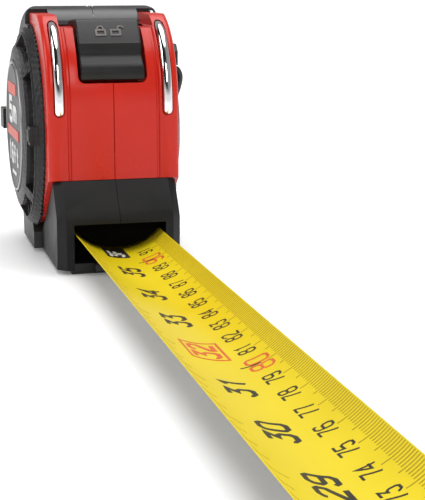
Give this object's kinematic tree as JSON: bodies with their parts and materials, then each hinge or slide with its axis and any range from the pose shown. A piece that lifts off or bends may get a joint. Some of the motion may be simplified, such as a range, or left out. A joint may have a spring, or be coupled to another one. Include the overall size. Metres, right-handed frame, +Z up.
{
  "type": "tape measure",
  "caption": "Pocket tape measure with a drawn curved blade, thumb lock, spring reel, end hook, frame bars and a wire belt clip.",
  "frame": {"origin": "on the sole's underside, straight below the reel axis", "axes": "-Y is forward, the way the blade is drawn; +X is the belt clip's side; +Z up"},
  "size_m": [0.05, 0.3076, 0.0708],
  "materials": {
    "red_shell": "glossy moulded ABS, light satin on the flats",
    "rubber": "matt moulded rubber with a fine texture",
    "nose_black": "fine spark-eroded grain",
    "black_plastic": "plain moulded",
    "chrome": "polished plating",
    "label": "printed film under a clear coat",
    "ring_metal": "satin",
    "steel": "zinc plated",
    "spring_steel": "blued",
    "reel_grey": "plain moulded",
    "blade_yellow": "enamel under a clear nylon coat",
    "hook_steel": "stamped and plated",
    "lever_black": "satin moulded",
    "clip_wire": "black plated spring wire"
  },
  "bodies": {
    "case": {"left_shell": "red_shell", "right_shell": "red_shell", "left_overmould": "rubber", "right_overmould": "rubber", "nose_left": "nose_black", "nose_right": "nose_black", "sole": "black_plastic", "mouth_guide": "black_plastic", "blade_bumper": "rubber", "left_bar": "chrome", "right_bar": "chrome", "left_label": "label", "right_label": "label", "left_ring": "ring_metal", "right_ring": "ring_metal", "case_screw_1": "steel", "case_screw_2": "steel", "case_screw_3": "steel", "case_screw_4": "steel", "centre_post": "steel", "return_spring": "spring_steel", "lever_spring": "spring_steel", "clip_plate": "black_plastic", "clip_screw_front": "steel", "clip_screw_rear": "steel", "blade_inner": "blade_yellow", "blade_run": "blade_yellow"},
    "reel": {"reel_drum": "black_plastic", "reel_flange_left": "reel_grey", "reel_flange_right": "reel_grey", "blade_coil": "blade_yellow"},
    "tip": {"blade_tip": "blade_yellow", "rivet_left": "steel", "rivet_middle": "steel", "rivet_right": "steel"},
    "hook": {"end_hook": "hook_steel"},
    "lever": {"lock_lever": "lever_black"},
    "brake": {"brake_arm": "black_plastic", "brake_pad": "rubber"},
    "clip": {"belt_clip": "clip_wire"}
  },
  "joints": [
    {"name": "reel_spin", "type": "hinge", "parent": "case", "child": "reel", "pos_m": [0, 0, 0.0365], "axis": [1, 0, 0], "range_deg": [0, 540], "deforming": ["return_spring"]},
    {"name": "blade_draw", "type": "slide", "parent": "case", "child": "tip", "axis": [0, -1, 0], "range_m": [-0.2281, 0], "deforming": ["blade_run"]},
    {"name": "hook_float", "type": "slide", "parent": "tip", "child": "hook", "axis": [0, 1, 0], "range_m": [0, 0.0007]},
    {"name": "lock_slide", "type": "slide", "parent": "case", "child": "lever", "axis": [0, 0.5019, 0.8649], "range_m": [0, 0.0035]},
    {"name": "brake_slide", "type": "slide", "parent": "case", "child": "brake", "axis": [0, 0, 1], "range_m": [0, 0.003]},
    {"name": "clip_flex", "type": "hinge", "parent": "case", "child": "clip", "pos_m": [0.0226, 0.0034, 0.0532], "axis": [0, -1, 0], "range_deg": [0, 9], "stiffness_Nm_per_rad": 0.3}
  ],
  "couplings": [
    {"joint": "blade_draw", "follows": "reel_spin", "m_per_rad": -0.0242},
    {"joint": "brake_slide", "follows": "lock_slide", "ratio": 0.8}
  ]
}
